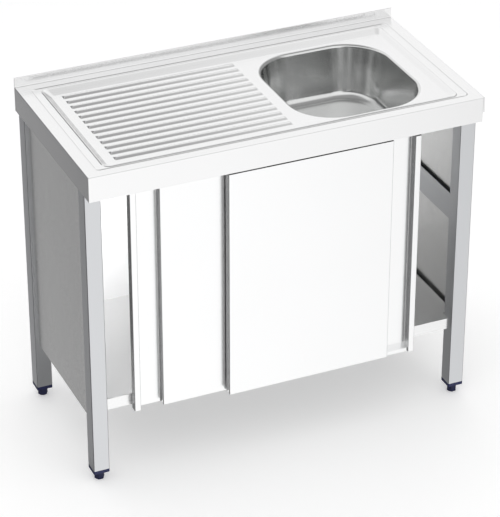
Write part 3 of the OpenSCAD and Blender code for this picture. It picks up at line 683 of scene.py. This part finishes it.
bowlShape = {
    "centre": (232.0, -9.7), "opening": (340.0, 370.0), "corner": 114.0,
    "roll": 8.0, "foot": 24.0, "draft": 8.0, "floor": 709.5, "sheet": 1.15,
    "dishRadius": 112.0, "dishDrop": 3.5, "drain": 26.0,
    # The seat round the drain: radii of its slope's head, middle and foot, and its fall
    "seatRadius": 37.0, "seatSlope": (5, 3, 1), "seatDrop": 3.0, "seatStep": 1.6,
}
ribShape = {
    "count": 13, "first": -170.0, "pitch": 28.0, "width": 19.0,
    "x0": -408.0, "x1": 33.0, "high": 3.5, "low": 2.7, "hip": 4.8, "endHip": 3.6, "round": 0.13,
    # The height field's lines: along x from x0 on, then evenly to the end hip; across by shares
    # of half a rib's width; and the flat margin around the ribs
    "startLines": (-4, 0, 0.6, 1.2, 1.8, 2.4, 3.0, 3.6, 4.2, 4.8, 5.4, 7, 10), "evenFrom": 25,
    "acrossLines": (0, 0.05, 0.1, 0.16, 0.26, 0.4, 0.55, 0.7, 0.85, 0.94, 1.0),
    "marginX": 4, "marginY": 14,
}


def bowlOutline(s, grow, perSide=8, perCorner=24):
    # The opening's outline moved outward by grow
    w, d = s["opening"]
    x, y = s["centre"]
    r = s["corner"] + grow
    return outline(x - w / 2 - grow, x + w / 2 + grow, y - d / 2 - grow, y + d / 2 + grow, r,
                   perSide, perCorner)


def ribField(q, fieldZ):
    # Height = crest * min(roof, hip, end hip): the roof is 1 - distance from the rib's line with
    # a rounded ridge, the hips rise from each end, and the crest falls evenly from x0 to x1
    x = np.concatenate([q["x0"] + np.array(q["startLines"]),
                        np.linspace(q["x0"] + q["evenFrom"], q["x1"] - q["endHip"], 24),
                        q["x1"] - q["endHip"] * (1 - np.linspace(0.2, 1, 5)),
                        [q["x1"] + q["marginX"]]])
    half = np.array(q["acrossLines"])
    across = np.concatenate([-half[:0:-1], half]) * q["width"] / 2
    lines = q["first"] + np.arange(q["count"]) * q["pitch"]
    y = np.concatenate([[lines[0] - q["marginY"]], (lines[:, None] + across).ravel(),
                        [lines[-1] + q["marginY"]]])
    gx, gy = np.meshgrid(x, y, indexing="ij")
    rib = np.round((gy - q["first"]) / q["pitch"]).clip(0, q["count"] - 1)
    near = q["first"] + rib * q["pitch"]
    away = np.abs(gy - near) / (q["width"] / 2)
    roof = np.clip((1 - np.hypot(away, q["round"])) / (1 - q["round"]), 0, 1)
    crest = np.interp(gx, [q["x0"], q["x1"]], [q["high"], q["low"]])
    hip = np.clip((gx - q["x0"]) / q["hip"], 0, 1)
    endHip = np.clip((q["x1"] - gx) / q["endHip"], 0, 1)
    height = np.minimum(np.minimum(roof, hip), endHip) * crest
    return np.stack([gx, gy, fieldZ + height], -1)


def deckSurface(w, ribs, bowl):
    # Rounded outlines moved inwards and downwards, one for each line of the rim's bead, the
    # recess's bead and the slope; then the ribs' field, and flat sheet round it and the bowl
    hx, hy, z = w["halfLength"], w["halfDepth"], w["rim"]
    rearEdge = hy - w["upstandThick"]
    edge = outline(w["bend"] - hx, hx - w["bend"], w["bend"] - hy, rearEdge, w["edgeRadius"])
    loops = [(edge, z)]
    for inset, drop in w["rimBead"]:
        flat = outline(inset - hx, hx - inset, inset - hy, hy - inset, w["rimRadius"])
        loops.append((flat, z - drop))
    side, front, rear = w["recessInset"]
    r0, r1 = w["recessRadius"]
    for out, drop in w["recessBead"]:
        flat = outline(side - out - hx, hx - side + out, front - out - hy, hy - rear + out, r0 + out)
        loops.append((flat, z - drop))
    runSide, runFront, runRear = w["recessRun"]
    topZ, fieldZ = z - w["recessBead"][-1][1], z - w["fieldDrop"]
    for s, fall in w["recessSlope"]:
        flat = outline(side + runSide * s - hx, hx - side - runSide * s, front + runFront * s - hy,
                       hy - rear - runRear * s, r0 + (r1 - r0) * s)
        loops.append((flat, topZ + (fieldZ - topZ) * fall))
    ring = np.concatenate([atHeight(flat, level) for flat, level in loops])
    shapes = [(ring, gridFaces(len(loops), len(loops[0][0]), closed=True))]
    grid = ribField(ribs, fieldZ)
    shapes.append((grid.reshape(-1, 3), gridFaces(*grid.shape[:2])))
    rim = np.concatenate([grid[:, 0], grid[-1, 1:], grid[-2::-1, -1], grid[0, -2:0:-1]])[:, :2]
    shapes.append(flatFill([loops[-1][0], rim, bowlOutline(bowl, 0.0)], fieldZ))
    return joinShapes(shapes)


def deckSheet(w, ribs, bowl):
    # The deck's surface, welded and turned upwards, and its copy one sheet lower
    points, faces = deckSurface(w, ribs, bowl)
    work = bmesh.new()
    made = [work.verts.new(p) for p in points.tolist()]
    for f in faces:
        work.faces.new([made[i] for i in f])
    bmesh.ops.remove_doubles(work, verts=work.verts, dist=0.01)
    bmesh.ops.dissolve_degenerate(work, edges=work.edges, dist=1e-4)
    bmesh.ops.recalc_face_normals(work, faces=work.faces)
    work.verts.index_update()
    points = np.array([v.co for v in work.verts])
    faces = [tuple(v.index for v in f.verts) for f in work.faces]
    work.free()
    return thicken(points, faces, np.array([0, 0, -w["sheet"]]))


def arc(centre, r, start, end, count=6):
    # centre + r (cos a, sin a), with a from start to end in degrees
    a = np.radians(np.linspace(start, end, count))
    return np.stack([centre[0] + r * np.cos(a), centre[1] + r * np.sin(a)], -1)


def apronSection(w, foot):
    # Inward and height: down the face from the deck's bend, and back up inside
    r, t, z = w["bend"], w["sheet"], w["rim"]
    outer = np.concatenate([arc((r, z - r), r, 90, 180), [[0, foot]]])
    inner = np.concatenate([[[t, foot]], arc((r, z - r), r - t, 180, 90)])
    return np.concatenate([outer, inner])


def makeWorktop(w, ribs, bowl):
    # The pressed deck, and the aprons, hem and upstand as sections carried along its edges
    hx, hy, z = w["halfLength"], w["halfDepth"], w["rim"]
    foot = z - w["apron"]
    t = w["sheet"]
    full = apronSection(w, foot)
    high = apronSection(w, foot + w["cornerRise"])
    wide, cornerRear = w["cornerWide"], w["cornerDeep"] - hy

    def alongLength(a, b, c):
        # Section (y, z) and length x, put in the order x, y, z
        return np.column_stack([c, a, b])

    # Left and front apron up to the right corner, the corner cut higher, and the right apron
    shapes = [deckSheet(w, ribs, bowl),
              mitredSweep(full, [(-hx, hy - t), (-hx, -hy), (hx - wide, -hy)]),
              mitredSweep(high, [(hx - wide + w["cornerGap"], -hy), (hx, -hy), (hx, cornerRear)]),
              mitredSweep(full, [(hx, cornerRear), (hx, hy - t)])]
    # Hem turned up behind the front apron's foot
    y0, y1 = w["hemFrom"] - hy, w["hemTo"] - hy
    hem = [(y0, foot + w["hemFrom"]), (y0, foot), (y1, foot), (y1, foot + w["hem"])]
    start, stop = w["hemEnds"]
    shapes.append(foldedStrip(hem, w["hemRadii"], w["hemSheet"], start - hx, hx - stop, alongLength))
    # Rear apron and upstand, a double hem with a round top
    u = w["upstandThick"]
    top = z + w["upstand"]
    section = np.concatenate([[[hy - u, z - t]], arc((hy - u / 2, top - u / 2), u / 2, 180, 0, 9),
                              [[hy, foot], [hy - t, foot], [hy - t, z - t]]])
    shapes.append(profileBar(section, -hx, hx, alongLength))
    # Hollow bend at the foot of the upstand, sunk a little into both
    b = w["upstandBend"]
    bend = np.concatenate([arc((hy - u - b, z + b), b, -90, 0), [[hy - u + 0.5, z - 0.3]]])
    shapes.append(profileBar(bend, 0.2 - hx, hx - 0.2, alongLength))
    makePiece("worktopSheet", shapes, "satin_steel", "cabinet", ("worktop",), smooth=25.0)


def makeBowl(s, field):
    # Outlines moved outwards by g at height z, where (g, z) runs down a rolled edge, a wall with
    # draft and a foot arc; then the floor's rings down to the drain
    a = math.radians(s["draft"])
    rollZ, footZ = field - s["roll"], s["floor"] + s["foot"]
    footX = -(rollZ - footZ) * math.tan(a) - (s["roll"] + s["foot"]) / math.cos(a)
    rows = []
    for t in np.radians(np.linspace(90, 180 - s["draft"], 9)):
        rows.append((s["roll"] * math.cos(t), rollZ + s["roll"] * math.sin(t)))
    top = np.array(rows[-1])
    foot = np.array([footX + s["foot"] * math.cos(a), footZ - s["foot"] * math.sin(a)])
    rows += [tuple(top + (foot - top) * k) for k in np.linspace(0, 1, 8)[1:-1]]
    for t in np.radians(np.linspace(-s["draft"], -90, 13)):
        rows.append((footX + s["foot"] * math.cos(t), footZ + s["foot"] * math.sin(t)))
    loops = [atHeight(bowlOutline(s, g), z) for g, z in rows]
    centre = np.array(s["centre"])
    edge = loops[-1][:, :2] - centre
    angle = np.arctan2(edge[:, 1], edge[:, 0])
    circle = np.stack([np.cos(angle), np.sin(angle)], -1)
    reach = np.linalg.norm(edge, axis=1)
    # Floor: the outline becomes a circle towards the drain and falls with the distance
    for share in (0.97, 1.0):
        r = reach + (s["dishRadius"] - reach) * share
        loops.append(atHeight(centre + circle * r[:, None], s["floor"]))
    head, middle, foot = s["seatSlope"]
    for k in np.linspace(0, 1, 7)[1:]:
        r = s["dishRadius"] + (s["seatRadius"] + head - s["dishRadius"]) * k
        loops.append(atHeight(centre + circle * r, s["floor"] - s["dishDrop"] * k))
    seat = s["floor"] - s["dishDrop"] - s["seatDrop"]
    for r, z in ((s["seatRadius"] + middle, seat + s["seatStep"]), (s["seatRadius"] + foot, seat),
                 (s["drain"], seat)):
        loops.append(atHeight(centre + circle * r, z))
    points = np.concatenate(loops)
    faces = gridFaces(len(loops), len(loops[0]), closed=True)
    # Offset for the sheet: outward from the section's own normal, in the plane of each loop's spoke
    grid = points.reshape(len(loops), -1, 3)
    du = np.gradient(grid, axis=0)
    dv = np.roll(grid, -1, axis=1) - np.roll(grid, 1, axis=1)
    normal = np.cross(du, dv)
    normal /= np.linalg.norm(normal, axis=2, keepdims=True) + 1e-12
    down = np.where(normal[..., 2:] > 0, -normal, normal)
    makePiece("drawnBowl", [thicken(points, faces, s["sheet"] * down.reshape(-1, 3))],
              "bowl_steel", "cabinet", ("bowl",))


makeWorktop(worktop, ribShape, bowlShape)
makeBowl(bowlShape, worktop["rim"] - worktop["fieldDrop"])
print("worktop and bowl made")

# Doors

doorShape = {
    "groove": 57.5, "lip": 15.5, "sheet": 1.0, "fold": 1.3, "grooveFold": 2.4,
    "channel": 10.0,    # width and height of the way through for the lower guide
    "past": 1.0,        # how far its cuts run past the sheet
}


def makeDoorSkin(s, side):
    # One sheet folded round panel, groove and lip, drawn upwards; u runs from the edge near
    # the cabinet's middle outwards, v from the front face to the rear
    low, high = (c / mm for c in np.array(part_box(side + "_door_skin")))
    w, d = high[0] - low[0], high[1] - low[1]
    t = s["sheet"]
    panel = w - s["groove"] - s["lip"]
    g = panel + s["groove"]
    path = [(0, d), (0, 0), (panel, 0), (panel, d - t), (g, d - t), (g, 0), (w, 0), (w, d),
            (g + t, d)]
    radii = [s["fold"]] * 2 + [s["grooveFold"]] * 2 + [s["fold"]] * 3

    def place(u, v, z):
        # x = low edge + u on the right door and high edge - u on the left one
        x = low[0] + u if side == "right" else high[0] - u
        return np.column_stack([x, low[1] + v, z])

    # Way through the folded walls for the guide: all walls of the right door, and both walls of the
    # left door's panel
    c, past = s["channel"], s["past"]
    near, far = (d - c) / 2, (d + c) / 2
    inner, outer = (w - t, w + past) if side == "right" else (panel, panel)
    under, over = low[2] - past, low[2] + c
    cuts = [(place(t, near, under)[0], place(inner, d - t, over)[0]),
            (place(-past, near, under)[0], place(outer, far, over)[0])]
    makePiece(side + "DoorSkin", [foldedStrip(path, radii, t, low[2], high[2], place)],
              "door_steel", side + "_door", (side + "_door_skin",), cuts=cuts)


for side in ("right", "left"):
    makeDoorSkin(doorShape, side)
print("doors made")
